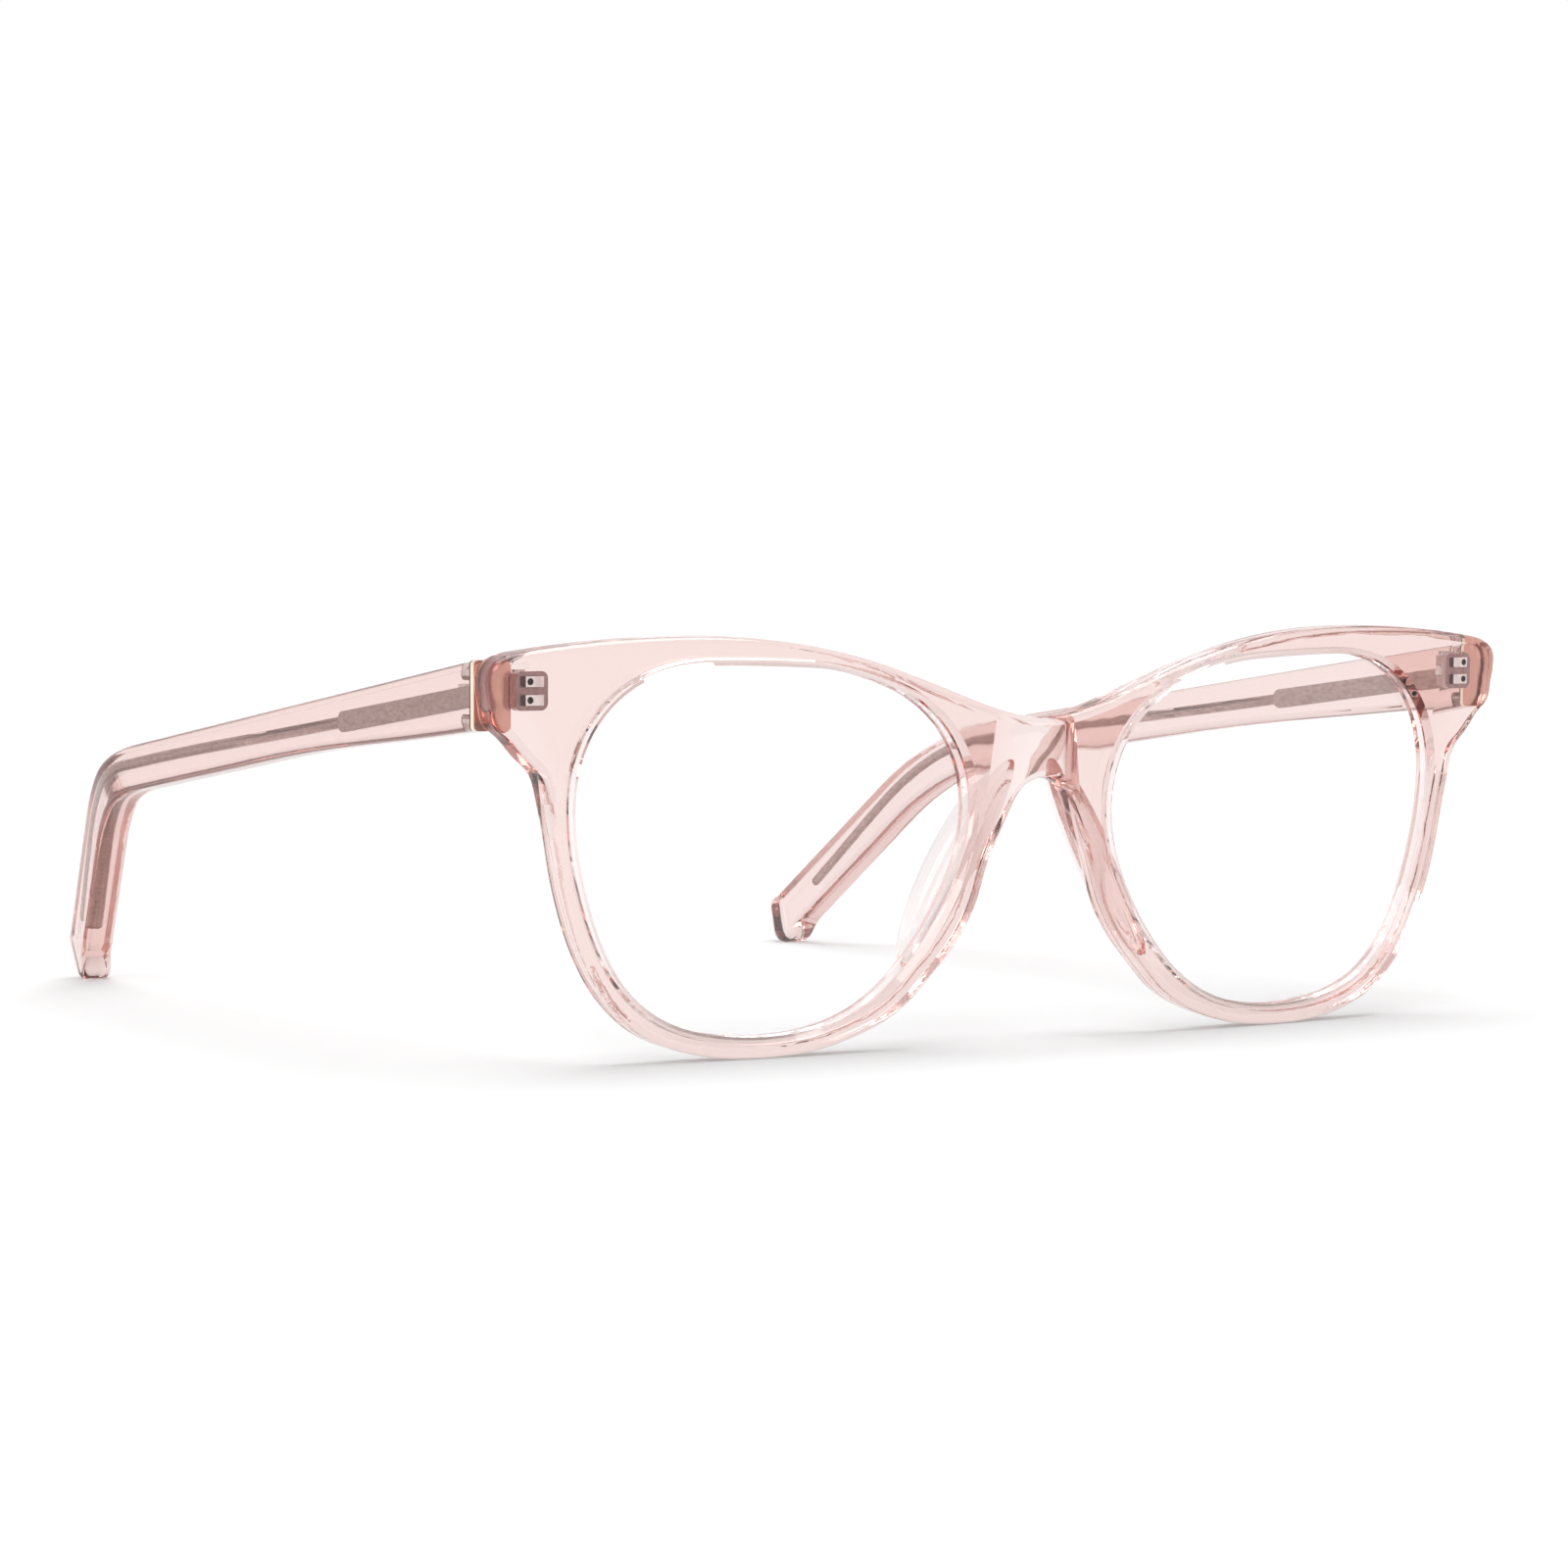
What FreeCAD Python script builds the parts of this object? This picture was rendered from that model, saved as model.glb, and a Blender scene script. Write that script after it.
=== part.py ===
import FreeCAD, Part
import math
import os

# Blue light glasses: a clear acetate front with two plano lenses, and two cored
# temples that fold on screwed hinges.
#
# Millimetres. +X is the wearer's left, -Y the way the lenses face, +Z up. The glasses
# stand open on a flat surface, on the rim bottoms and the two temple tips. While they
# are drawn, y is measured from the middle of the front; at the end every piece moves
# back together, so that the origin is the centre of the whole on that surface.

Vector = FreeCAD.Vector
UP = Vector(0, 0, 1)
BACK = Vector(0, 1, 0)
LEFT = Vector(1, 0, 0)
ORIGIN = Vector(0, 0, 0)

# ---- driving dimensions -----------------------------------------------------------

# front
front_width = 140.0          # over the two end-pieces
front_thickness = 4.0
front_radius = 500.0         # curve of the front, seen from above
front_lean = 2.8             # degrees, the top of the front leans forward
opening_width = 49.4
opening_height = 40.8
opening_gap = 19.8           # between the two lens openings
rim_top = 3.2
rim_bottom = 2.5
rim_temple = 2.7
rim_nose = 3.9
edge_round = 1.0             # rounding of the outer edges of the front
opening_bevel = 0.75         # sight-side bevel of each lens opening
rear_round = 0.4             # rounding behind each lens opening
bridge_dip = 9.5             # from the top of the brow to the top of the bridge
bridge_height = 7.0
saddle_radius = 12.0         # hollow behind the bridge, for the nose
saddle_depth = 1.2           # at the top of the bridge
saddle_tilt = 4.0            # degrees, the hollow deepens downward
end_piece_drop = 1.9         # from the top of the brow to the end-piece's upper corner
end_piece_height = 8.4
end_piece_thickness = 3.08   # at its side, in front of the hinge
end_piece_corner = 2.4       # straight side starts this far under its upper corner
end_piece_shoulder = 3.4     # upper corner starts this far inward from the side
shoulder_rise = 0.25         # and this far over it
end_piece_taper = 0.5        # inward, at the foot of the straight side
end_piece_neck = 3.6         # inward, where the end-piece runs into the rim
rim_fillet = 1.6             # extra width of the rim under the end-piece
nose_flank_drop = 7.2        # from the bridge's underside to the top of the nose flank
end_piece_flat = 8.0         # flat rear face, inward from the hinge axis
end_piece_flat_drop = 12.0   # and down from it

# lens
lens_thickness = 2.0
lens_seat_depth = 1.0        # from the front surface to the lens
lens_bevel = 0.8             # how far the lens edge reaches into the rim
lens_chamfer = 0.72          # on both edges of the lens

# nose pads
pad_length = 27.0
pad_thickness = 3.8
pad_reach = 4.4              # behind the rim
pad_height = 20.4            # centre of the pad over the floor
pad_inset = -0.2             # pad centre, outward from the nasal edge of the opening
pad_tilt = 30.0              # degrees, follows the nasal flank of the rim
pad_splay = 14.0             # degrees, opens towards the face

# temples
temple_thickness = 4.0
temple_length = 129.0        # from the hinge plate to the end of the tip
temple_height = 7.6          # at the hinge plate
temple_waist = 5.7           # height where it is narrowest before the elbow
temple_waist_share = 0.42    # place of the waist, as a share of the length
elbow_height = 5.4           # at the elbow's start
elbow_lead = 1.5             # the lower edge starts its elbow this much sooner
elbow_fill = 0.4             # the lower edge leaves its elbow this far down and back
tip_height = 6.0
temple_drop = 12.6           # of the upper edge, from the plate to the elbow
elbow_from_end = 38.0        # start of the elbow, from the end of the tip
elbow_depth = 9.0            # the upper edge drops this far through the elbow
elbow_reach = 18.5           # end of the elbow, from the end of the tip
hinge_from_top = 0.43        # hinge's middle under the temple's top, as a share of its height
toe_in = 2.9                 # degrees, each temple turns inward
tip_turn = 12.0              # degrees, the tip turns further inward
tip_turn_radius = 25.0
tip_slope = 43.0             # degrees, the tip drops below the horizontal
turn_slope = 45.0            # degrees, along which the turned tip is drawn
temple_round = 0.9           # rounding of the temple's long edges
heel_setback = 1.9           # end of the straight upper edge, from the end of the tip
tip_nose = 2.6               # the tip's end falls this far below it
tip_nose_heading = -110.0    # degrees
toe_lead = 1.2               # tip's lower edge ends this far before the heel's square
toe_rise = 1.1               # and this far over it
tip_flat = 3.3               # the tip's lowest point, from its end

# temple core
core_thickness = 1.2
shoe_height = 2.3
shoe_length = 33.4
wire_height = 1.25
wire_end_from_tip = 7.5      # from the end of the wire to the end of the tip
core_below_top = 3.8         # core's middle under the temple's upper edge, at the plate
core_slope = 0.122           # fall of the core along the straight arm
wire_round = 0.5
wire_in_shoe = 3.0           # overlap of the wire and the shoe
wire_below_bend = 2.6        # wire's middle under the upper edge, after the elbow
wire_bend_lag = 3.0          # the wire starts to bend this far behind the elbow's start
wire_steeper = (1.0, 2.0, 3.0)   # degrees over the temple's slope: elbow, bend, end
shoe_setback = 0.05          # lower corner of the shoe, behind the plate

# end plate between the end-piece and the temple
joint_gap = 0.08             # between the end-piece and the closed plate
plate_thickness = 1.0
peg_radius = 0.6
peg_length = 2.9             # in the temple, behind the plate
peg_round = 0.35
upper_peg_edge = 1.6         # centre of the upper peg, under the plate's upper edge
lower_peg_edge = 1.1         # centre of the lower peg, over its lower edge
plate_round = 0.5

# hinge
hinge_setback = 1.6          # axis, behind the end-piece's rear face
hinge_rise = 18.0            # middle of the hinge, over the middle of the lens opening
knuckle_radius = 1.15
knuckle_height = 1.15        # each of the two front knuckles
washer_thickness = 0.15
middle_knuckle_height = 0.94
side_clearance = 0.03        # between a front knuckle and a washer
screw_radius = 0.5
running_clearance = 0.03     # radial, where the temple turns on the screw
screw_head_radius = 0.9
screw_head_height = 0.5
screw_slot_width = 0.25
screw_slot_depth = 0.25
leaf_height = 4.2
leaf_depth = 1.7
leaf_width = 3.9             # across the end-piece
leaf_reach = 1.9             # leaf's outer side, outward from the hinge axis
leaf_corner = 0.8
boss_width = 2.2             # each of the two bosses that anchor the leaf in the front
boss_height = 1.15
boss_length = 0.9
boss_spread = 1.0            # each boss, up or down from the hinge's middle
pocket_radius = 0.38
pocket_depth = 0.8
pocket_offset = 0.55         # outward from the middle of its boss
web_step = 0.05              # a front knuckle's web, in from its outer side
leaf_overlap = 0.2           # how far a knuckle's web runs into its leaf
leaf_proud = 0.45            # temple leaf, proud of the temple's inner face
knuckle_clearance = 0.1      # between the knuckles and the temple leaf
temple_leaf_height = 1.2
temple_leaf_length = 3.9

# ---- sizes that follow ------------------------------------------------------------

half_width = opening_width / 2
half_height = opening_height / 2
lens_x = opening_gap / 2 + half_width
lens_z = rim_bottom + half_height
brow_z = lens_z + half_height + rim_top
side_x = front_width / 2
reach = 3 * front_width      # longer than any piece, for extrusions and cuts
tolerance = 1e-6
aligned = 0.9                # least share of a unit vector that lies along an axis

hinge_x = side_x - temple_thickness - leaf_proud - knuckle_clearance - knuckle_radius
hinge_z = lens_z + hinge_rise
lean_angle = math.radians(front_lean)
side_depth = front_radius - math.sqrt(front_radius ** 2 - side_x ** 2)
front_at_side = side_depth * math.cos(lean_angle) - hinge_z * math.sin(lean_angle)
joint_y = front_at_side + end_piece_thickness     # rear face of the end-piece
hinge_y = joint_y + hinge_setback
plate_y = joint_y + joint_gap
temple_y = plate_y + plate_thickness
temple_x = side_x - temple_thickness / 2
temple_top = hinge_z + hinge_from_top * temple_height
temple_end_y = temple_y + temple_length
elbow_y = temple_end_y - elbow_from_end
elbow_z = temple_top - temple_drop
fall_slope = temple_drop / (elbow_y - temple_y)
fall = math.degrees(math.atan(fall_slope))
core_fall = math.degrees(math.atan(core_slope))
temple_spare = 6.0           # the temple is drawn this much longer, and trimmed at the plate


# ---- outlines of tangent arcs -----------------------------------------------------

def heading(degrees):
    """Unit direction in an outline's plane, 0 along its first axis."""
    angle = math.radians(degrees)
    return Vector(math.cos(angle), math.sin(angle), 0)


def left_of(direction):
    return Vector(-direction.y, direction.x, 0)


def arc_from(start, direction, end):
    """The arc, or line, that leaves start along direction and ends at end."""
    chord = end.sub(start)
    side = left_of(direction).dot(chord)
    if abs(side) < tolerance * chord.Length:
        return Part.LineSegment(start, end)
    radius = chord.Length ** 2 / (2 * side)
    centre = start.add(left_of(direction).multiply(radius))
    outward = start.add(end).multiply(0.5).sub(centre)
    if outward.Length < tolerance:
        outward = direction
    middle = centre.add(outward.normalize().multiply(abs(radius)))
    return Part.Arc(start, middle, end)


def biarc(start, start_heading, end, end_heading):
    """Two tangent arcs from one station to the next."""
    t1, t2 = heading(start_heading), heading(end_heading)
    chord = end.sub(start)
    tangents = t1.add(t2)
    a = 2 * (1 - t1.dot(t2))
    b = chord.dot(tangents)
    if a < tolerance ** 2:
        reach_out = chord.Length / 2
    else:
        reach_out = (math.sqrt(b * b + a * chord.dot(chord)) - b) / a
    joint = start.add(end).add(t1.sub(t2).multiply(reach_out)).multiply(0.5)
    second = arc_from(end, Vector(-t2.x, -t2.y, 0), joint)
    return [arc_from(start, t1, joint), second]


def outline(stations, closed=True):
    """Edges through stations (a, b, heading), in the plane's own axes."""
    pairs = list(zip(stations, stations[1:]))
    if closed:
        pairs.append((stations[-1], stations[0]))
    curves = []
    for first, second in pairs:
        curves += biarc(Vector(first[0], first[1], 0), first[2],
                        Vector(second[0], second[1], 0), second[2])
    return [curve.toShape() for curve in curves]


def face_of(edges, first_axis, second_axis, origin=ORIGIN):
    """A flat face from outline edges, set in the plane of two axes."""
    wire = Part.Wire(Part.__sortEdges__(edges))
    normal = first_axis.cross(second_axis)
    placing = FreeCAD.Matrix(first_axis.x, second_axis.x, normal.x, origin.x,
                             first_axis.y, second_axis.y, normal.y, origin.y,
                             first_axis.z, second_axis.z, normal.z, origin.z,
                             0, 0, 0, 1)
    return Part.Face(moved(wire, placing))


def moved(shape, matrix):
    copy = shape.copy()
    copy.Placement = FreeCAD.Placement(matrix)
    return copy


def through(face, direction):
    """Extrude a face both ways along a direction, past everything."""
    start = face.copy()
    start.translate(Vector(direction).multiply(-reach))
    return start.extrude(Vector(direction).multiply(2 * reach))


def block(low, high):
    size = high.sub(low)
    return Part.makeBox(size.x, size.y, size.z, low)


def mirrored(shape):
    return shape.mirror(ORIGIN, LEFT)


# ---- the front --------------------------------------------------------------------

# Lens opening, clockwise from the top as shares of its half width and height, with
# the heading there.
opening_shape = [
    (0.346, 1.000, 0), (0.676, 0.921, -25), (0.942, 0.601, -65), (0.999, 0.218, -92),
    (0.895, -0.369, -110), (0.665, -0.800, -140), (0.335, -0.977, -170),
    (-0.285, -0.954, -195), (-0.642, -0.699, -225), (-0.870, -0.334, -240),
    (-1.000, 0.182, -270), (-0.924, 0.530, -300), (-0.642, 0.834, -335),
]


# Brow from the bridge to the rim's top: share of the lens's distance outward, share of
# the bridge's dip under the brow, and the heading there.
brow_shape = [(0.29, 0.77, 20), (0.81, 0.18, 12)]
rim_top_place = (0.42, 1.0, 0)
rim_shoulder_place = (0.985, 0.42, -104)
rim_low_place = (0.075, -1.000, -180)
lower_nose_share = 0.85      # of the rim's nose width, on the lower nasal side
nose_flank_share = 0.185     # of the lens's distance outward, at the top of the nose flank


def beside_opening(kx, kz, direction, border):
    """A station that lies border outside the lens opening."""
    out = left_of(heading(direction))
    return (lens_x + kx * half_width + border * out.x,
            lens_z + kz * half_height + border * out.y, direction)


def opening_edges(grow):
    return outline([beside_opening(*station, grow) for station in opening_shape])


def front_edges():
    """Outline of the whole front: the left half from the top centre, then mirrored."""
    corner_z = brow_z - end_piece_drop
    bridge_under = brow_z - bridge_dip - bridge_height
    brow = [(share * lens_x, brow_z - dip * bridge_dip, direction)
            for share, dip, direction in brow_shape]
    half = [(0, brow_z - bridge_dip, 0)] + brow + [
        beside_opening(*rim_top_place, rim_top),
        (side_x - end_piece_shoulder, corner_z + shoulder_rise, -9),
        (side_x, corner_z - end_piece_corner, -88),
        (side_x - end_piece_taper, corner_z - 0.74 * end_piece_height, -96),
        (side_x - end_piece_neck, corner_z - 1.2 * end_piece_height, -128),
        beside_opening(*rim_shoulder_place, rim_temple + rim_fillet),
        beside_opening(*opening_shape[4], rim_temple),
        beside_opening(*opening_shape[5], rim_temple),
        beside_opening(*opening_shape[6], rim_bottom),
        beside_opening(*rim_low_place, rim_bottom),
        beside_opening(*opening_shape[7], rim_bottom),
        beside_opening(*opening_shape[8], lower_nose_share * rim_nose),
        beside_opening(*opening_shape[9], rim_nose),
        (nose_flank_share * lens_x, bridge_under - nose_flank_drop, -243),
        (0, bridge_under, -180),
    ]
    other = [(-x, z, -direction) for x, z, direction in reversed(half[1:-1])]
    return outline(half + other)


def curved_slab(front_depth, rear_depth):
    """The space between two depths behind the curved front surface."""
    centre = Vector(0, front_radius, -reach)
    outer = Part.makeCylinder(front_radius - front_depth, 2 * reach, centre)
    inner = Part.makeCylinder(front_radius - rear_depth, 2 * reach, centre)
    return outer.cut(inner)


def lean(shape):
    """Lean the front forward on its lower edge."""
    copy = shape.copy()
    copy.rotate(ORIGIN, LEFT, front_lean)
    return copy


def curved_faces(shape, depth):
    """Faces of a shape at a depth behind the curved front surface."""
    return [face for face in shape.Faces if isinstance(face.Surface, Part.Cylinder)
            and abs(face.Surface.Radius - (front_radius - depth)) < tolerance]


def make_front_blank():
    blank = through(face_of(front_edges(), LEFT, UP), BACK).common(
        curved_slab(0, front_thickness))
    edges = [edge for depth in (0, front_thickness)
             for face in curved_faces(blank, depth) for edge in face.Edges]
    return blank.makeFillet(edge_round, edges)


def make_lens():
    plate = through(face_of(opening_edges(lens_bevel), LEFT, UP), BACK).common(
        curved_slab(lens_seat_depth, lens_seat_depth + lens_thickness))
    edges = [edge for depth in (lens_seat_depth, lens_seat_depth + lens_thickness)
             for face in curved_faces(plate, depth) for edge in face.Edges]
    return plate.makeChamfer(lens_chamfer, edges)


def cut_openings(front, lens):
    """Cut both lens openings and the grooves that hold the lenses, and ease their edges."""
    hole = through(face_of(opening_edges(0), LEFT, UP), BACK)
    front = front.cut([hole, mirrored(hole)])
    sight_edges = [edge for face in curved_faces(front, 0) for wire in face.Wires
                   if not wire.isSame(face.OuterWire) for edge in wire.Edges]
    front = front.makeChamfer(opening_bevel, sight_edges)
    rear_edges = [edge for face in curved_faces(front, front_thickness)
                  for wire in face.Wires if not wire.isSame(face.OuterWire)
                  for edge in wire.Edges]
    front = front.makeFillet(rear_round, rear_edges)
    return front.cut([lens, mirrored(lens)])


def make_saddle():
    """The space that the bridge of the nose takes out of the front's rear face."""
    top = Vector(0, front_thickness - saddle_depth + saddle_radius, brow_z - bridge_dip)
    saddle = Part.makeCylinder(saddle_radius, 2 * reach, top.sub(Vector(0, 0, reach)))
    saddle.rotate(top, LEFT, -saddle_tilt)
    return saddle


def make_nose_pad():
    """A half-egg behind the nasal flank of the rim, cemented to its rear face."""
    ball = Part.makeSphere(1)
    stretch = FreeCAD.Matrix()
    stretch.scale(pad_thickness / 2, pad_reach, pad_length / 2)
    egg = ball.transformGeometry(stretch)
    egg.rotate(ORIGIN, UP, -pad_splay)
    egg.rotate(ORIGIN, BACK, -pad_tilt)
    pad_x = opening_gap / 2 + pad_inset
    rear_y = front_radius - math.sqrt((front_radius - front_thickness) ** 2 - pad_x ** 2)
    egg.translate(Vector(pad_x, rear_y, pad_height))
    behind = Part.makeCylinder(front_radius - front_thickness, 2 * reach,
                               Vector(0, front_radius, -reach))
    return egg.common(behind)


# ---- the temples ------------------------------------------------------------------

def temple_edges():
    """Side outline of a temple, clockwise from its front end: (y, z, heading)."""
    front_y = temple_y - temple_spare
    waist_y = temple_y + temple_waist_share * temple_length
    waist_z = temple_top - fall_slope * (waist_y - temple_y) - temple_waist
    under_slope = (temple_top - temple_height - waist_z) / (waist_y - temple_y)
    under_fall = math.degrees(math.atan(under_slope))
    across = left_of(heading(-tip_slope)).multiply(tip_height)
    bend_y = temple_end_y - elbow_reach
    bend_z = elbow_z - elbow_depth
    heel_y = temple_end_y - heel_setback
    heel_z = bend_z - (heel_y - bend_y) * math.tan(math.radians(tip_slope))
    return outline([
        (front_y, temple_top + fall_slope * temple_spare, -fall),
        (elbow_y, elbow_z, -fall),
        (bend_y, bend_z, -tip_slope),
        (heel_y, heel_z, -tip_slope),
        (temple_end_y, heel_z - tip_nose, tip_nose_heading),
        (temple_end_y - tip_flat, 0, -180),
        (heel_y - across.x - toe_lead, heel_z - across.y + toe_rise, -180 - tip_slope),
        (bend_y - across.x + elbow_fill, bend_z - across.y - elbow_fill,
         -180 - tip_slope),
        (elbow_y - elbow_lead, elbow_z - elbow_height, -180 - fall),
        (waist_y, waist_z, -180 - fall),
        (temple_y, temple_top - temple_height, -180 - under_fall),
        (front_y, temple_top - temple_height + under_slope * temple_spare, -180 - under_fall),
    ])


def core_line(y):
    """Height of the core's centre line along the straight arm."""
    return temple_top - core_below_top - core_slope * (y - temple_y)


def wire_edges():
    """Side outline of the core wire, from the shoe to its round end in the tip."""
    start_y = temple_y + shoe_length - wire_in_shoe
    bend_y = temple_end_y - elbow_reach
    bend_z = elbow_z - elbow_depth - wire_below_bend
    end_y = temple_end_y - wire_end_from_tip
    at_elbow, at_bend, at_end = wire_steeper
    end_slope = tip_slope + at_end
    end_z = bend_z - (end_y - bend_y) * math.tan(math.radians(end_slope))
    turn_y = elbow_y + wire_bend_lag
    line = [
        (start_y, core_line(start_y), -core_fall),
        (turn_y, core_line(turn_y), -core_fall - at_elbow),
        (bend_y, bend_z, -tip_slope - at_bend),
        (end_y, end_z, -end_slope),
    ]
    return strip_edges(line, wire_height)


def shoe_edges():
    start_y = temple_y + shoe_setback + shoe_height / 2 * math.sin(math.radians(core_fall))
    end_y = temple_y + shoe_length - shoe_height / 2
    line = [(start_y, core_line(start_y), -core_fall), (end_y, core_line(end_y), -core_fall)]
    return strip_edges(line, shoe_height)


def strip_edges(line, width):
    """Outline of a strip about a centre line, square at its start, round at its end."""
    upper, lower = [], []
    for y, z, direction in line:
        side = left_of(heading(direction)).multiply(width / 2)
        upper.append((y + side.x, z + side.y, direction))
        lower.append((y - side.x, z - side.y, direction - 180))
    last = line[-1]
    nose = heading(last[2]).multiply(width / 2)
    tip = (last[0] + nose.x, last[1] + nose.y, last[2] - 90)
    lower.reverse()
    edges = outline(upper + [tip] + lower, closed=False)
    close = Part.LineSegment(Vector(*lower[-1][:2], 0), Vector(*upper[0][:2], 0))
    return edges + [close.toShape()]


def bent_slab(thickness):
    """All that lies within a temple's faces: flat along the arm, then turned in."""
    half = thickness / 2
    turn = math.radians(tip_turn)
    along = heading(-tip_turn)
    edges = []
    for side in (half, -half):
        radius = tip_turn_radius + side
        bend_end = Vector(radius * math.sin(turn),
                          side - radius * (1 - math.cos(turn)), 0)
        start = Vector(-reach, side, 0)
        flat_end = Vector(0, side, 0)
        far_end = bend_end.add(Vector(along).multiply(reach))
        edges += [Part.LineSegment(start, flat_end), arc_from(flat_end, heading(0), bend_end),
                  Part.LineSegment(bend_end, far_end)]
        if side > 0:
            first_start, first_far = start, far_end
    edges += [Part.LineSegment(first_start, start), Part.LineSegment(first_far, far_end)]
    tip_angle = math.radians(turn_slope)
    along_axis = Vector(0, math.cos(tip_angle), -math.sin(tip_angle))
    bend_line = Vector(0, elbow_y, elbow_z - temple_height)
    band = face_of([edge.toShape() for edge in edges], along_axis, LEFT, bend_line)
    return through(band, Vector(0, math.sin(tip_angle), math.cos(tip_angle)))


def to_left_side(shape):
    """From a temple's own upright plane to its place on the wearer's left."""
    copy = shape.copy()
    copy.rotate(Vector(0, temple_y, 0), UP, toe_in)
    copy.translate(Vector(temple_x, 0, 0))
    return copy


def long_edges(shape):
    """Edges between a temple-like solid's side faces and its narrow outline faces."""
    chosen = []
    for edge in shape.Edges:
        owners = shape.ancestorsOfType(edge, Part.Face)
        sides = [is_side_face(owner) for owner in owners]
        if sides.count(True) == 1:
            chosen.append(edge)
    return chosen


def is_side_face(face):
    low_u, high_u, low_v, high_v = face.ParameterRange
    normal = face.normalAt((low_u + high_u) / 2, (low_v + high_v) / 2)
    return abs(normal.x) > aligned


def make_core():
    slab = bent_slab(core_thickness)
    wire = through(face_of(wire_edges(), BACK, UP), LEFT).common(slab)
    wire = wire.makeFillet(wire_round, long_edges(wire))
    shoe = through(face_of(shoe_edges(), BACK, UP), LEFT).common(slab)
    return to_left_side(shoe.fuse(wire))


def make_temple_blank():
    arm = through(face_of(temple_edges(), BACK, UP), LEFT).common(
        bent_slab(temple_thickness))
    arm = arm.makeFillet(temple_round, long_edges(arm))
    in_front = block(Vector(0, -reach, -reach), Vector(reach, temple_y, reach))
    return to_left_side(arm).cut(in_front)


# ---- end plates and hinges --------------------------------------------------------

def rod(radius, length, start, direction=UP):
    return Part.makeCylinder(radius, length, start, direction)


def make_pegs():
    """Two round pegs, half through the end plate and on into the temple."""
    in_plate = plate_thickness / 2
    pegs = []
    for z in (temple_top - upper_peg_edge, temple_top - temple_height + lower_peg_edge):
        peg = rod(peg_radius, in_plate + peg_length, Vector(temple_x, temple_y - in_plate, z),
                  BACK)
        rear = [edge for edge in peg.Edges
                if edge.BoundBox.YMin > temple_y + peg_length - tolerance]
        pegs.append(peg.makeFillet(peg_round, rear))
    return pegs


def make_end_plate(pegs):
    """Plate across the temple's front end, with a hole for each peg."""
    plate = block(Vector(temple_x - temple_thickness / 2, plate_y, temple_top - temple_height),
                  Vector(temple_x + temple_thickness / 2, temple_y, temple_top))
    corners = [edge for edge in plate.Edges if abs(edge.tangentAt(0).y) > aligned]
    return plate.makeFillet(plate_round, corners).cut(pegs)


hinge_height = 2 * (knuckle_height + washer_thickness + side_clearance) + middle_knuckle_height
hinge_low = hinge_z - hinge_height / 2
middle_low = hinge_z - middle_knuckle_height / 2


def knuckle(low, height, bore):
    """One knuckle round the hinge axis."""
    start = Vector(hinge_x, hinge_y, low)
    return rod(knuckle_radius, height, start), rod(bore, height, start)


def make_front_leaf():
    """Leaf sunk in the end-piece, with two knuckles behind and two pocketed bosses before."""
    outer = hinge_x + leaf_reach
    leaf_y = joint_y - leaf_depth
    plate = block(Vector(outer - leaf_width, leaf_y, hinge_z - leaf_height / 2),
                  Vector(outer, joint_y, hinge_z + leaf_height / 2))
    corners = [edge for edge in plate.Edges if abs(edge.tangentAt(0).y) > aligned]
    plate = plate.makeFillet(leaf_corner, corners)
    pieces, hollows = [], []
    for low in (hinge_low, hinge_low + hinge_height - knuckle_height):
        solid, bore = knuckle(low, knuckle_height, screw_radius)
        web = block(Vector(hinge_x - knuckle_radius, joint_y - leaf_overlap, low),
                    Vector(hinge_x + knuckle_radius - web_step, hinge_y,
                           low + knuckle_height))
        pieces += [solid, web]
        hollows.append(bore)
    middle_x = outer - leaf_width / 2
    for side in (-1, 1):
        z = hinge_z + side * boss_spread
        pieces.append(block(
            Vector(middle_x - boss_width / 2, leaf_y - boss_length, z - boss_height / 2),
            Vector(middle_x + boss_width / 2, leaf_y, z + boss_height / 2)))
        hollows.append(rod(pocket_radius, pocket_depth,
                           Vector(middle_x + pocket_offset, leaf_y - boss_length, z), BACK))
    return plate.fuse(pieces).cut(hollows).removeSplitter()


def make_temple_leaf():
    """Leaf let into the temple's inner face, with the middle knuckle."""
    solid, bore = knuckle(middle_low, middle_knuckle_height, screw_radius + running_clearance)
    inner = temple_x - temple_thickness / 2 - leaf_proud
    plate = block(Vector(inner, temple_y, hinge_z - temple_leaf_height / 2),
                  Vector(temple_x, temple_y + temple_leaf_length, hinge_z + temple_leaf_height / 2))
    web = block(Vector(hinge_x, temple_y + side_clearance, middle_low),
                Vector(inner + leaf_overlap, hinge_y + knuckle_radius,
                       middle_low + middle_knuckle_height))
    return plate.fuse([solid, web]).cut(bore).removeSplitter()


def make_washers():
    """Thin washers on both sides of the middle knuckle."""
    rings = []
    for low in (middle_low - washer_thickness, middle_low + middle_knuckle_height):
        solid, bore = knuckle(low, washer_thickness, screw_radius + running_clearance)
        rings.append(solid.cut(bore))
    return rings


def make_screw():
    """Hinge screw: a pin through all knuckles, with a slotted head on top."""
    top = hinge_low + hinge_height
    pin = rod(screw_radius, hinge_height, Vector(hinge_x, hinge_y, hinge_low))
    head = rod(screw_head_radius, screw_head_height, Vector(hinge_x, hinge_y, top))
    slot = block(Vector(hinge_x - screw_head_radius, hinge_y - screw_slot_width / 2,
                        top + screw_head_height - screw_slot_depth),
                 Vector(hinge_x + screw_head_radius, hinge_y + screw_slot_width / 2,
                        top + screw_head_height))
    return pin.fuse(head).cut(slot).removeSplitter()


# ---- the assembly -----------------------------------------------------------------

def shifted(shape, offset):
    copy = shape.copy()
    copy.translate(offset)
    return copy


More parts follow.
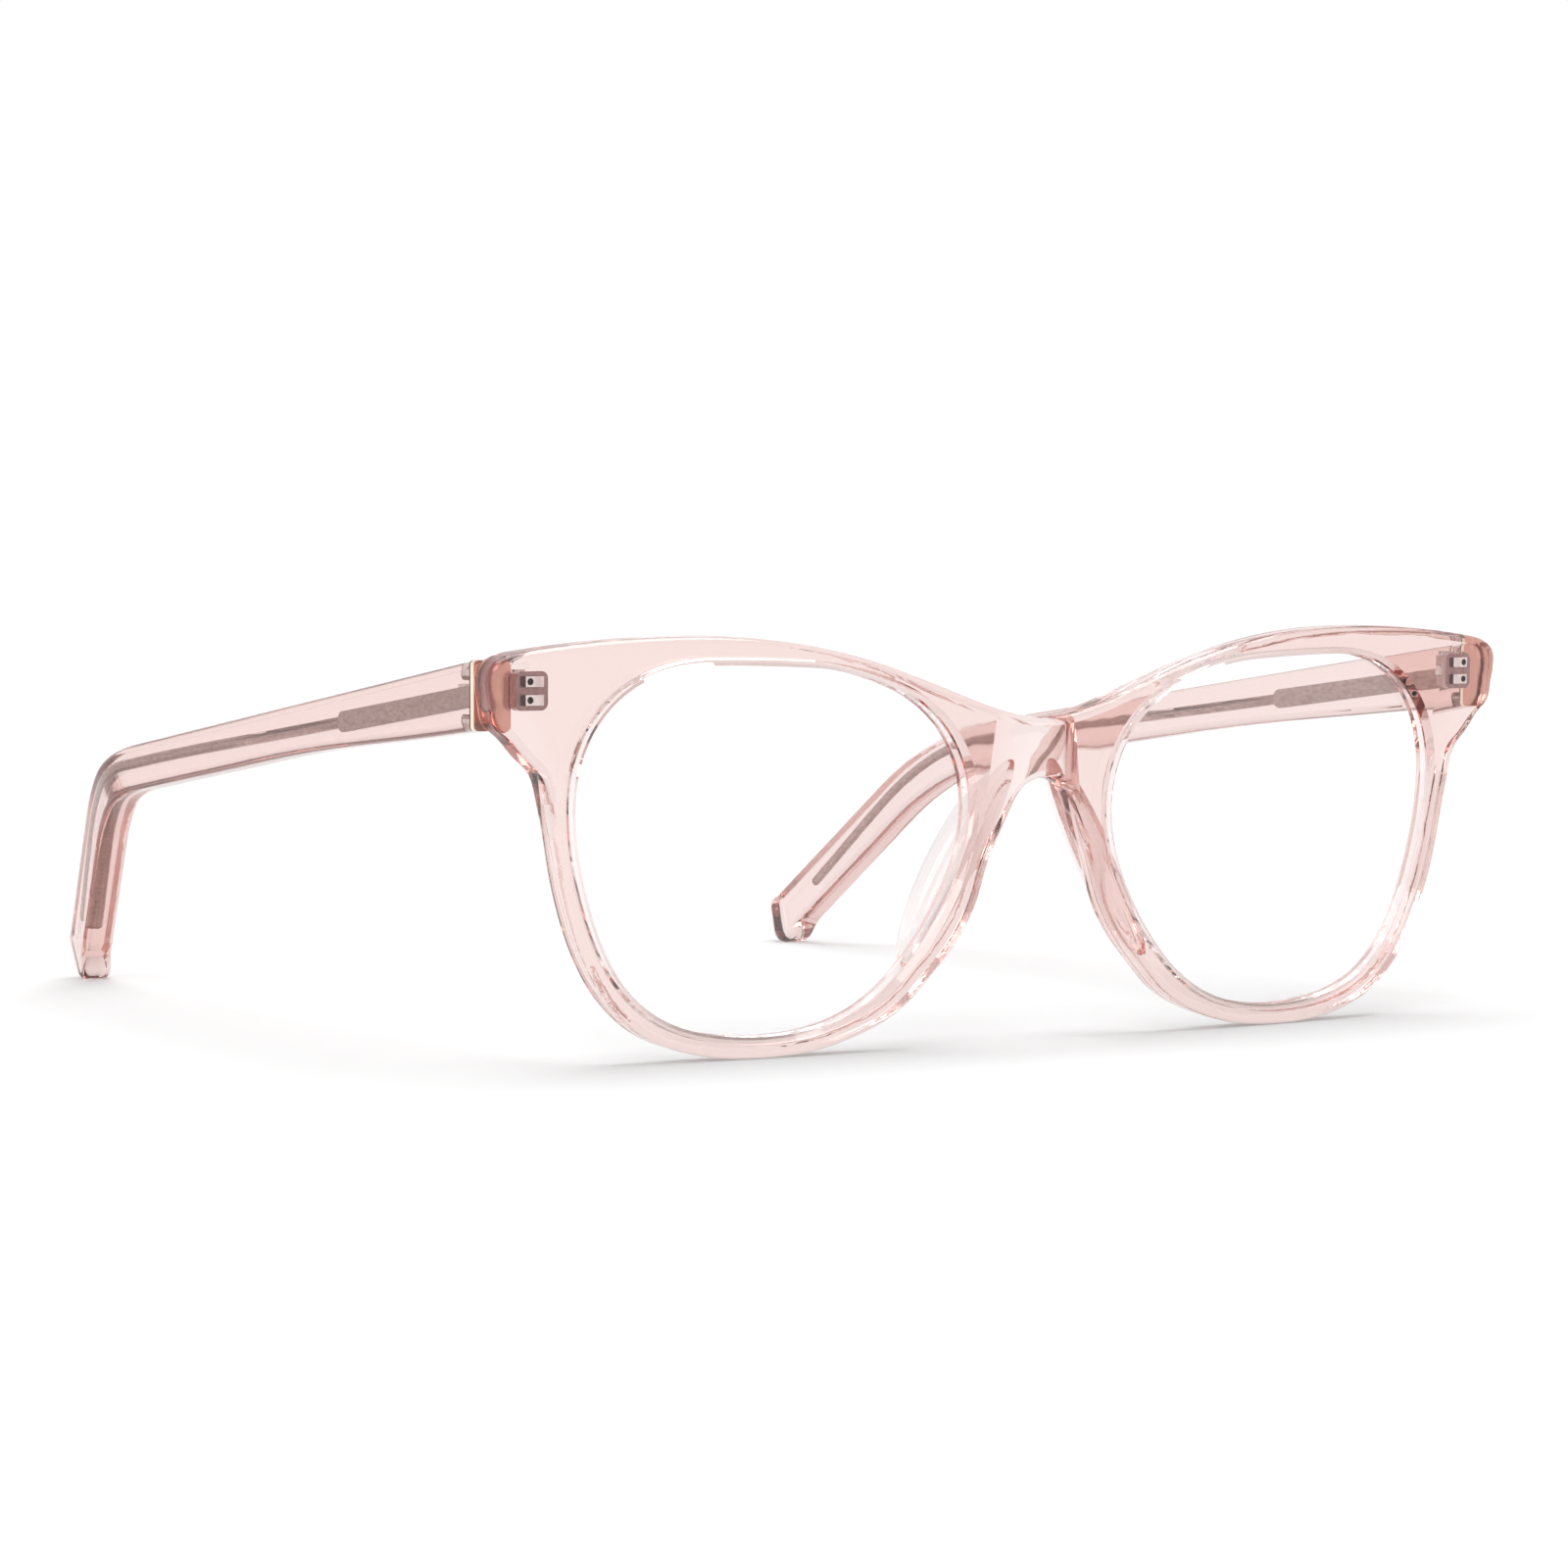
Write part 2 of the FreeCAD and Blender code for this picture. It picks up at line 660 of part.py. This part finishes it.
def centred(pieces):
    """All pieces moved together along y, so that the origin is in their middle."""
    boxes = [piece.optimalBoundingBox() for piece in pieces.values()]
    middle = (min(box.YMin for box in boxes) + max(box.YMax for box in boxes)) / 2
    print("hinge axis at", round(hinge_x, 4), round(hinge_y - middle, 4), round(hinge_z, 4))
    return {name: shifted(piece, Vector(0, -middle, 0)) for name, piece in pieces.items()}


def build():
    """Every piece by name. Those of the wearer's left are mirrored to the right."""
    lens = make_lens()
    pad = make_nose_pad()
    front = lean(cut_openings(make_front_blank().cut(make_saddle()), lens))
    drop = Vector(0, 0, -front.optimalBoundingBox().ZMin)
    front, lens, pad = [shifted(shape, drop) for shape in (front, lean(lens), lean(pad))]

    front_leaf = make_front_leaf()
    behind_joint = block(
        Vector(hinge_x - end_piece_flat, joint_y, hinge_z - end_piece_flat_drop),
        Vector(reach, reach, reach))
    front_cuts = [behind_joint, front_leaf]
    front = front.cut(front_cuts + [mirrored(shape) for shape in front_cuts])

    core = make_core()
    pegs = make_pegs()
    end_plate = make_end_plate(pegs)
    temple_leaf = make_temple_leaf().cut([core] + pegs)
    temple = make_temple_blank().cut([core, temple_leaf] + pegs)

    left = {
        "lens": lens,
        "nose_pad": pad,
        "temple": temple,
        "temple_core": core,
        "end_plate": end_plate,
        "end_plate_pegs": Part.makeCompound(pegs),
        "front_hinge_leaf": front_leaf,
        "temple_hinge_leaf": temple_leaf,
        "hinge_screw": make_screw(),
        "hinge_washers": Part.makeCompound(make_washers()),
    }
    pieces = {"front_frame": front}
    for name, shape in left.items():
        pieces[name + "_left"] = shape
        pieces[name + "_right"] = mirrored(shape)
    return centred(pieces)


os.makedirs("parts", exist_ok=True)
for piece_name, piece in build().items():
    piece.exportStep("parts/" + piece_name + ".step")
    print(piece_name, len(piece.Solids), "solids,", round(piece.Volume, 3), "mm3")
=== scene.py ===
import bpy
import math
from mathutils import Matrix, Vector


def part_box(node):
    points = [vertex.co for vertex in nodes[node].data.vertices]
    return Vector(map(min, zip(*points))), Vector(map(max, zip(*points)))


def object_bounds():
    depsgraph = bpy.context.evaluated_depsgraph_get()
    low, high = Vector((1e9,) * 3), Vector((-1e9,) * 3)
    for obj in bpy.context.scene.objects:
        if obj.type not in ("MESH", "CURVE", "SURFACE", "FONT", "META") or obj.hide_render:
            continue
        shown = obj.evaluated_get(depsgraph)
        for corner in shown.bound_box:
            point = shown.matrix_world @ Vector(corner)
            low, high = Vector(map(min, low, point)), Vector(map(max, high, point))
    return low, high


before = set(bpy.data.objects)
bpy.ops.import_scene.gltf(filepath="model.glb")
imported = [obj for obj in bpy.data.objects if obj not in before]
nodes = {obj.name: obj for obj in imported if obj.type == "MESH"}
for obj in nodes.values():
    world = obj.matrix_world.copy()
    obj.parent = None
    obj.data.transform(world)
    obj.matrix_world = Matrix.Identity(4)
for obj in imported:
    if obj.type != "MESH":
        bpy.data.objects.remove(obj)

# Clear pink acetate glasses, standing open on a white studio floor.

cad_low, cad_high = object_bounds()
SIDES = ("left", "right")
MM = 0.001

WHITE = (1, 1, 1, 1)

# Tints of the end plate from its front face back: a rose-copper front face, which is painted
# shade of the plate seen through pink acetate, bare gold, and a dark line of painted shadow
# in the gap at its back.
FRONT_SHADE_TINT = (0.86, 0.69, 0.76, 1)
GAP_SHADOW_TINT = (0.06, 0.05, 0.05, 1)
PLATE_BANDS = ((0.0, FRONT_SHADE_TINT), (0.10, FRONT_SHADE_TINT), (0.16, WHITE), (0.74, WHITE),
               (0.80, GAP_SHADOW_TINT), (1.0, GAP_SHADOW_TINT))

# Tints of the front hinge leaf: bare bosses, painted shade on their sides and in the
# pockets, and the rest of the leaf tinted rose.
POCKET_SHADE_TINT = (0.16, 0.10, 0.10, 1)
LEAF_TINT = (0.60, 0.46, 0.46, 1)
LEAF_BANDS = ((0.0, WHITE), (0.06, WHITE), (0.12, POCKET_SHADE_TINT), (0.84, POCKET_SHADE_TINT),
              (0.90, LEAF_TINT), (3.0, LEAF_TINT))

# How far each kind of piece's skin moves outward, so that no two faces lie in one place.
LENS_SWELL = -0.03 * MM
PAD_SWELL = -0.02 * MM
METAL_SWELL = 0.02 * MM
PLATE_SWELL = 0.002 * MM
SCREW_SWELL = -0.005 * MM

FLOOR_REACH = 6.0            # from the middle to each edge
LIGHT_BOUNCES = 32           # light turns many times inside clear acetate


# ---- node helpers -----------------------------------------------------------------

def new_material(name):
    """An empty material with its output node."""
    material = bpy.data.materials.new(name)
    material.use_nodes = True
    material.node_tree.nodes.clear()
    output = material.node_tree.nodes.new("ShaderNodeOutputMaterial")
    return material, material.node_tree, output


def add_node(tree, kind, **values):
    """A node with its input sockets set by name."""
    node = tree.nodes.new(kind)
    for name, value in values.items():
        node.inputs[name.replace("_", " ")].default_value = value
    return node


def noise_height(tree, scale, detail, stretch=(1, 1, 1)):
    """A noise over the object's own coordinates, in metres."""
    place = tree.nodes.new("ShaderNodeTexCoord")
    mapping = tree.nodes.new("ShaderNodeMapping")
    mapping.inputs["Scale"].default_value = stretch
    tree.links.new(place.outputs["Object"], mapping.inputs["Vector"])
    noise = add_node(tree, "ShaderNodeTexNoise", Scale=scale, Detail=detail)
    tree.links.new(mapping.outputs["Vector"], noise.inputs["Vector"])
    return noise.outputs["Fac"]


def add_bump(tree, shader, height, strength, distance):
    bump = add_node(tree, "ShaderNodeBump", Strength=strength, Distance=distance)
    tree.links.new(height, bump.inputs["Height"])
    tree.links.new(bump.outputs["Normal"], shader.inputs["Normal"])


def map_range(tree, from_low, from_high, to_low=0.0, to_high=1.0):
    node = tree.nodes.new("ShaderNodeMapRange")
    node.inputs["From Min"].default_value = from_low
    node.inputs["From Max"].default_value = from_high
    node.inputs["To Min"].default_value = to_low
    node.inputs["To Max"].default_value = to_high
    return node


def spread(tree, height, low, high):
    """A noise turned into a value between low and high."""
    noise_low, noise_high = 0.3, 0.7
    ramp = map_range(tree, noise_low, noise_high, low, high)
    tree.links.new(height, ramp.inputs["Value"])
    return ramp.outputs["Result"]


def colour_by_depth(tree, front_y, bands):
    """Colours that follow one another backward from front_y, as (depth in mm, colour)."""
    place = tree.nodes.new("ShaderNodeTexCoord")
    split = tree.nodes.new("ShaderNodeSeparateXYZ")
    tree.links.new(place.outputs["Object"], split.inputs["Vector"])
    full_depth = bands[-1][0]
    depth = map_range(tree, front_y, front_y + full_depth * MM)
    tree.links.new(split.outputs["Y"], depth.inputs["Value"])
    ramp = tree.nodes.new("ShaderNodeValToRGB")
    stops = ramp.color_ramp.elements
    while len(stops) < len(bands):
        stops.new(0.5)
    for stop, (at, colour) in zip(stops, bands):
        stop.position = at / full_depth
        stop.color = colour
    tree.links.new(depth.outputs["Result"], ramp.inputs["Fac"])
    return ramp.outputs["Color"]


# ---- materials --------------------------------------------------------------------

def make_acetate(name, colour, density):
    """Polished clear acetate: the thicker it is along the view, the deeper its colour."""
    material, tree, output = new_material(name)
    shader = add_node(tree, "ShaderNodeBsdfPrincipled", IOR=1.48)
    shader.inputs["Base Color"].default_value = WHITE
    shader.inputs["Transmission Weight"].default_value = 1.0
    polish = spread(tree, noise_height(tree, 90, 3), 0.012, 0.045)
    tree.links.new(polish, shader.inputs["Roughness"])
    add_bump(tree, shader, noise_height(tree, 120, 2), 0.12, 0.4 * MM)
    tree.links.new(shader.outputs["BSDF"], output.inputs["Surface"])
    volume = add_node(tree, "ShaderNodeVolumeAbsorption", Density=density)
    volume.inputs["Color"].default_value = colour
    tree.links.new(volume.outputs["Volume"], output.inputs["Volume"])
    return material


def make_lens_material():
    """Clear coated lens with a faint film of wiping marks."""
    material, tree, output = new_material("lens_clear")
    shader = add_node(tree, "ShaderNodeBsdfPrincipled", IOR=1.5)
    shader.inputs["Base Color"].default_value = (0.995, 0.997, 1.0, 1)
    shader.inputs["Transmission Weight"].default_value = 1.0
    film = spread(tree, noise_height(tree, 60, 4, (1, 1, 3)), 0.0, 0.012)
    tree.links.new(film, shader.inputs["Roughness"])
    tree.links.new(shader.outputs["BSDF"], output.inputs["Surface"])
    return material


def mix_colours(tree, blend_type="MIX"):
    mix = tree.nodes.new("ShaderNodeMix")
    mix.data_type = "RGBA"
    mix.blend_type = blend_type
    return mix


def make_metal(name, colour, dark, roughness, grain, stretch, bump, front_y=0, bands=()):
    """Metal whose colour and gloss vary with its grain, and its tint with depth."""
    material, tree, output = new_material(name)
    shader = add_node(tree, "ShaderNodeBsdfPrincipled", Metallic=1.0)
    height = noise_height(tree, grain, 6, stretch)
    mix = mix_colours(tree)
    mix.inputs["A"].default_value = dark
    mix.inputs["B"].default_value = colour
    tree.links.new(spread(tree, height, 0.0, 1.0), mix.inputs["Factor"])
    finish = mix.outputs["Result"]
    if bands:
        # The depth bands darken the metal; on the end plate and the front leaf they hold
        # painted shade.
        tint = mix_colours(tree, "MULTIPLY")
        tint.inputs["Factor"].default_value = 1.0
        tree.links.new(finish, tint.inputs["A"])
        tree.links.new(colour_by_depth(tree, front_y, bands), tint.inputs["B"])
        finish = tint.outputs["Result"]
    tree.links.new(finish, shader.inputs["Base Color"])
    duller, glossier = 1.3 * roughness, 0.7 * roughness
    tree.links.new(spread(tree, height, duller, glossier), shader.inputs["Roughness"])
    add_bump(tree, shader, height, bump, 0.05 * MM)
    tree.links.new(shader.outputs["BSDF"], output.inputs["Surface"])
    return material


def make_nylon():
    """Dull natural nylon with a fine moulded grain."""
    material, tree, output = new_material("washer_nylon")
    shader = add_node(tree, "ShaderNodeBsdfPrincipled", Roughness=0.5)
    shader.inputs["Base Color"].default_value = (0.82, 0.8, 0.76, 1)
    add_bump(tree, shader, noise_height(tree, 3000, 3), 0.2, 0.03 * MM)
    tree.links.new(shader.outputs["BSDF"], output.inputs["Surface"])
    return material


def make_floor_material():
    """Matt white paint, lifted a little so that the floor stays white around the glasses."""
    material, tree, output = new_material("studio_white")
    shader = add_node(tree, "ShaderNodeBsdfPrincipled", Roughness=0.9)
    shader.inputs["Base Color"].default_value = (0.55, 0.55, 0.55, 1)
    shader.inputs["Specular IOR Level"].default_value = 0.0
    shader.inputs["Emission Color"].default_value = WHITE
    shader.inputs["Emission Strength"].default_value = 0.1
    tree.links.new(shader.outputs["BSDF"], output.inputs["Surface"])
    return material


# ---- the pieces -------------------------------------------------------------------

def dress(name, material):
    """Give a CAD node its material."""
    nodes[name].data.materials.clear()
    nodes[name].data.materials.append(material)


def swell(name, by):
    """Move a node's skin outward, or inward where by is negative."""
    displace = nodes[name].modifiers.new("swell", "DISPLACE")
    displace.mid_level = 0.0
    displace.strength = by


def dress_pieces():
    """Every CAD node keeps its shape and gets its finish."""
    pink = make_acetate("acetate_pink", (0.70, 0.21, 0.12, 1), 100)
    pale = make_acetate("acetate_pale", (0.76, 0.40, 0.34, 1), 60)
    lens = make_lens_material()
    core = make_metal("core_metal", (0.62, 0.48, 0.45, 1), (0.47, 0.35, 0.32, 1),
                      0.42, 2600, (1, 0.4, 1), 0.5)
    gold = make_metal("gold_metal", (0.96, 0.85, 0.69, 1), (0.89, 0.75, 0.57, 1),
                      0.2, 1500, (1, 1, 0.2), 0.15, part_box("end_plate_left")[0].y,
                      PLATE_BANDS)
    steel = make_metal("hinge_steel", (0.78, 0.72, 0.70, 1), (0.66, 0.60, 0.58, 1),
                       0.24, 1200, (1, 1, 0.3), 0.15)
    leaf = make_metal("leaf_steel", (0.88, 0.84, 0.83, 1), (0.76, 0.70, 0.69, 1),
                      0.24, 1200, (1, 1, 0.3), 0.15,
                      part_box("front_hinge_leaf_left")[0].y, LEAF_BANDS)
    bright = make_metal("screw_steel", (0.75, 0.75, 0.76, 1), (0.6, 0.6, 0.61, 1),
                        0.18, 2200, (1, 1, 1), 0.2)
    nylon = make_nylon()
    dress("front_frame", pink)
    for side in SIDES:
        for part, material, by in (
                ("lens", lens, LENS_SWELL), ("nose_pad", pale, PAD_SWELL),
                ("temple", pink, 0), ("temple_core", core, METAL_SWELL),
                ("end_plate", gold, PLATE_SWELL), ("end_plate_pegs", steel, METAL_SWELL),
                ("front_hinge_leaf", leaf, METAL_SWELL),
                ("temple_hinge_leaf", steel, METAL_SWELL),
                ("hinge_screw", bright, SCREW_SWELL), ("hinge_washers", nylon, 0)):
            name = part + "_" + side
            dress(name, material)
            if by:
                swell(name, by)


# ---- floor, light and camera ------------------------------------------------------

def make_floor():
    far = FLOOR_REACH
    corners = [(-far, -far, 0), (far, -far, 0), (far, far, 0), (-far, far, 0)]
    mesh = bpy.data.meshes.new("floor")
    mesh.from_pydata(corners, [], [(0, 1, 2, 3)])
    floor = bpy.data.objects.new("floor", mesh)
    bpy.context.scene.collection.objects.link(floor)
    floor.data.materials.append(make_floor_material())


def make_world():
    """White all round the horizon, and darker overhead, as in a lit studio cove."""
    world = bpy.data.worlds.new("studio")
    bpy.context.scene.world = world
    world.use_nodes = True
    tree = world.node_tree
    tree.nodes.clear()
    output = tree.nodes.new("ShaderNodeOutputWorld")
    background = tree.nodes.new("ShaderNodeBackground")
    place = tree.nodes.new("ShaderNodeTexCoord")
    split = tree.nodes.new("ShaderNodeSeparateXYZ")
    ramp = tree.nodes.new("ShaderNodeValToRGB")
    horizon, overhead = ramp.color_ramp.elements
    horizon.position = 0.30
    horizon.color = WHITE
    overhead.position = 0.75
    overhead.color = (0.80, 0.79, 0.79, 1)
    tree.links.new(place.outputs["Generated"], split.inputs["Vector"])
    tree.links.new(split.outputs["Z"], ramp.inputs["Fac"])
    tree.links.new(ramp.outputs["Color"], background.inputs["Color"])
    tree.links.new(background.outputs["Background"], output.inputs["Surface"])
    background.inputs["Strength"].default_value = 1.0


def add_softbox(name, towards, spread_degrees, strength):
    """A wide soft light from far away, so that the floor is evenly lit."""
    data = bpy.data.lights.new(name, "SUN")
    data.angle = math.radians(spread_degrees)
    data.energy = strength
    light = bpy.data.objects.new(name, data)
    bpy.context.scene.collection.objects.link(light)
    light.rotation_mode = "QUATERNION"
    light.rotation_quaternion = (-Vector(towards)).to_track_quat("-Z", "Y")


def make_camera():
    """A long lens from the front and the wearer's right, a little over the glasses."""
    azimuth, elevation = math.radians(-33.3), math.radians(3.0)
    distance = 0.6044
    aim = Vector((-0.0238, cad_low.y + 0.018, 0.0292))
    back = Vector((math.sin(azimuth) * math.cos(elevation),
                   -math.cos(azimuth) * math.cos(elevation), math.sin(elevation)))
    data = bpy.data.cameras.new("camera")
    data.lens = 122.8
    data.sensor_width = 36
    data.clip_start = 0.01
    data.clip_end = 50
    camera = bpy.data.objects.new("camera", data)
    bpy.context.scene.collection.objects.link(camera)
    camera.location = aim + distance * back
    camera.rotation_mode = "QUATERNION"
    camera.rotation_quaternion = (-back).to_track_quat("-Z", "Y")
    bpy.context.scene.camera = camera


dress_pieces()
make_floor()
make_world()
add_softbox("overhead", (0.15, 0.1, 1.0), 50, 2.4)
add_softbox("front_left", (-0.8, -0.8, 0.9), 30, 0.8)
make_camera()
bpy.context.scene.view_settings.view_transform = "Standard"
cycles = bpy.context.scene.cycles
cycles.max_bounces = LIGHT_BOUNCES
cycles.transmission_bounces = LIGHT_BOUNCES
cycles.glossy_bounces = LIGHT_BOUNCES
cycles.transparent_max_bounces = 16
